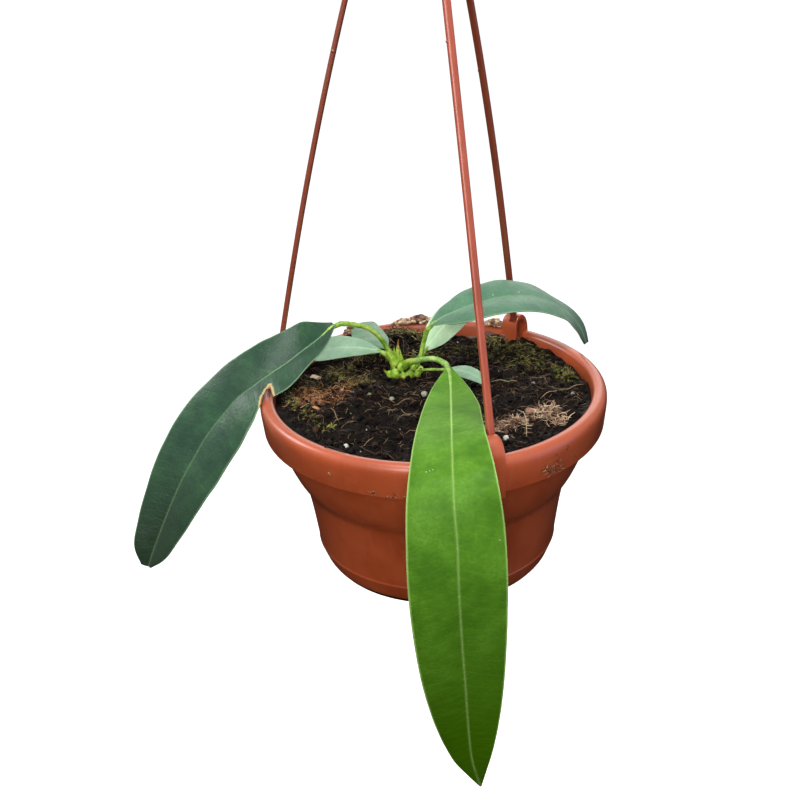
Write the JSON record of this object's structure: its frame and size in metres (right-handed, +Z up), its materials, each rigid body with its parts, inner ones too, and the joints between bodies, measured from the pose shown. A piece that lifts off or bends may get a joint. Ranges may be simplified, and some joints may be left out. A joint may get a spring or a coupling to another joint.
{
  "type": "potted anthurium",
  "caption": "Hanging plastic pot with a moulded rod hanger and hook, filled with peat, holding a small strap-leaved anthurium whose long leaves arch over the rim.",
  "frame": {"origin": "the point under the top of the hook's bend where the hook bears on a rail or nail", "axes": "+Z up along the pot's axis, +X to the right of someone facing the pot's front rod with the front leaf towards them, +Y away from them"},
  "size_m": [0.2821, 0.2499, 0.5735],
  "materials": {
    "pot_plastic": "satin terracotta-coloured polypropylene",
    "hanger_plastic": "satin terracotta-coloured polypropylene, slightly pinker",
    "peat": "moist dark peat",
    "moss": "matt green moss",
    "coir": "matt brown fibre",
    "stem": "smooth yellow-green stem",
    "bright_leaf": "satin fresh green blade",
    "dark_leaf": "satin blue-green blade",
    "pale_leaf": "satin pale green young blade"
  },
  "bodies": {
    "root": {"pot": "pot_plastic", "hanger_hook": "hanger_plastic", "hanger_rod_front": "hanger_plastic", "hanger_rod_back": "hanger_plastic", "hanger_rod_left": "hanger_plastic", "soil": "peat", "crown": "stem", "moss_left": "moss", "moss_back": "moss", "coir_left": "coir", "coir_front": "coir", "coir_right": "coir", "crust_back": "coir", "leaf_front": "bright_leaf", "leaf_left": "dark_leaf", "leaf_low_left": "dark_leaf", "leaf_back_left": "dark_leaf", "leaf_back_right": "dark_leaf", "leaf_young": "pale_leaf", "leaf_small": "dark_leaf"}
  },
  "joints": []
}
